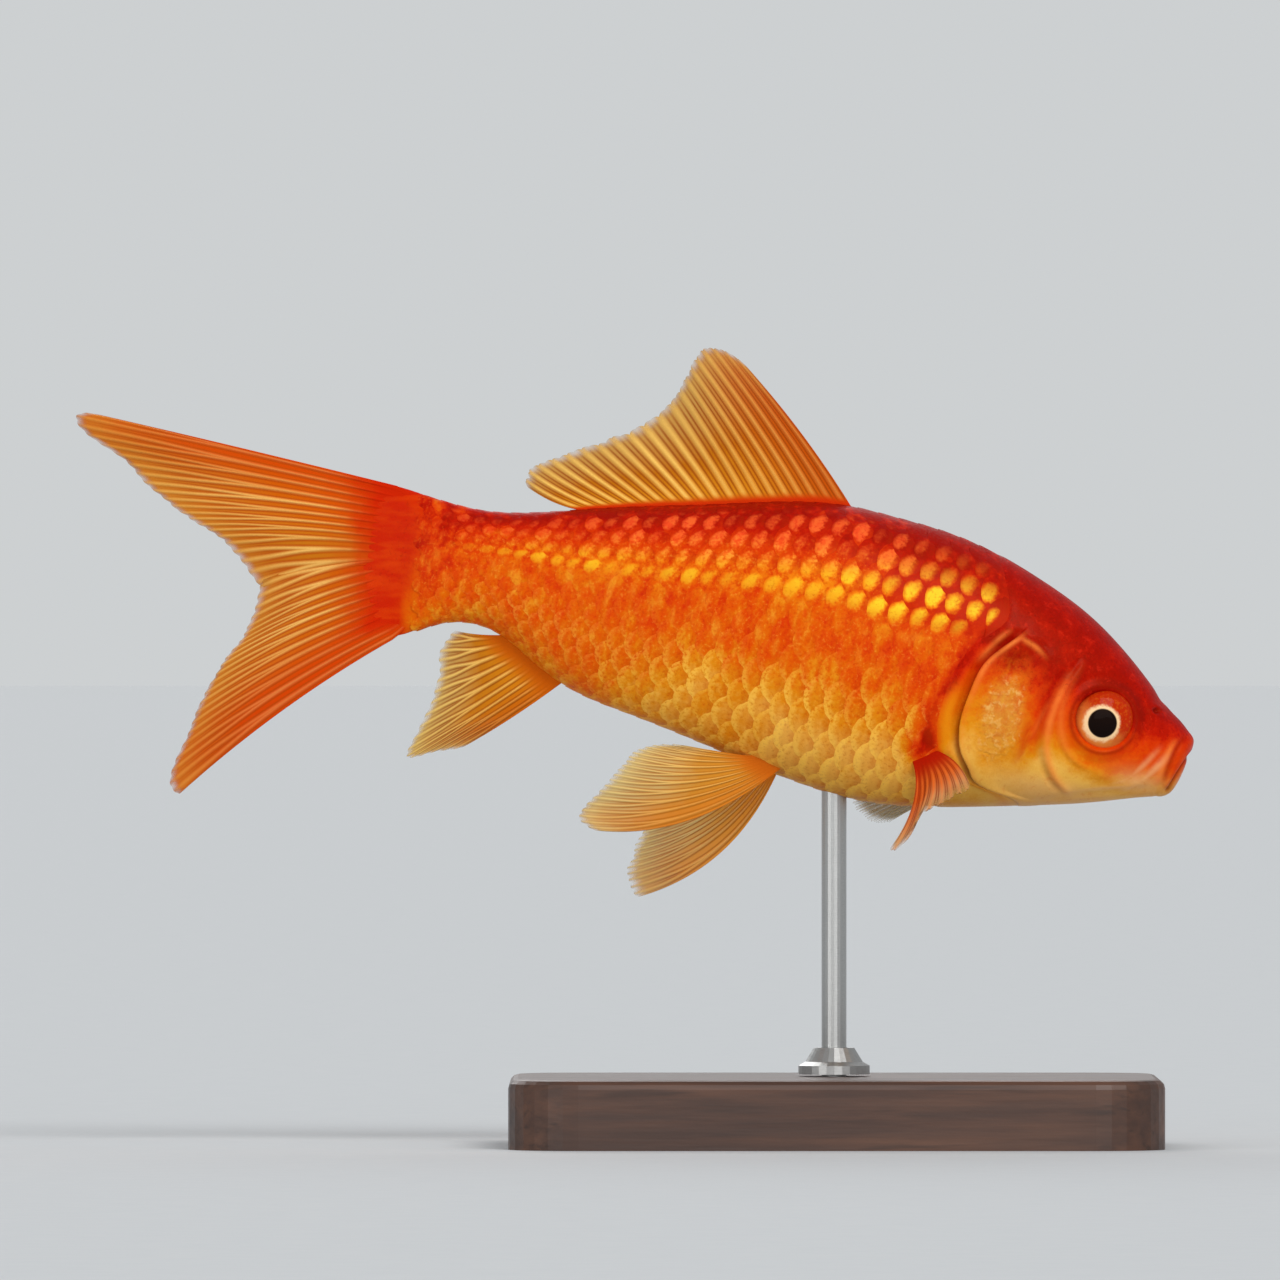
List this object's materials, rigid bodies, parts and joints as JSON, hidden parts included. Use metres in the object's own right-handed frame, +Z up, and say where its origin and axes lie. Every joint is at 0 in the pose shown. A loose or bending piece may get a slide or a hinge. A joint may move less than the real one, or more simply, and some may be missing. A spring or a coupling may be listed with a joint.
{
  "type": "goldfish",
  "caption": "Life-size still model of a swimming goldfish with spread fins and a forked tail, held nose down on a rod over a flat wooden base.",
  "frame": {"origin": "middle of the whole part's bounding box, at its bottom, on the floor that the stand rests on", "axes": "+X the way the fish swims, +Y out to its left, +Z up"},
  "size_m": [0.1435, 0.056, 0.1024],
  "materials": {
    "skin": "glossy red-orange, as wet skin",
    "fin": "semi-gloss pale orange",
    "eye": "polished black",
    "wood": "dark, satin",
    "steel": "satin"
  },
  "bodies": {
    "root": {"head": "skin", "upper_jaw": "skin", "lower_jaw": "skin", "gill_cover_left": "skin", "gill_cover_right": "skin", "trunk": "skin", "tail_stalk": "skin", "tail_fin_upper": "fin", "tail_fin_lower": "fin", "dorsal_fin": "fin", "anal_fin": "fin", "pelvic_fin_left": "fin", "pelvic_fin_right": "fin", "pectoral_fin_left": "fin", "pectoral_fin_right": "fin", "eye_left": "eye", "eye_right": "eye", "stand_base": "wood", "stand_rod": "steel", "stand_collar": "steel"}
  },
  "joints": []
}
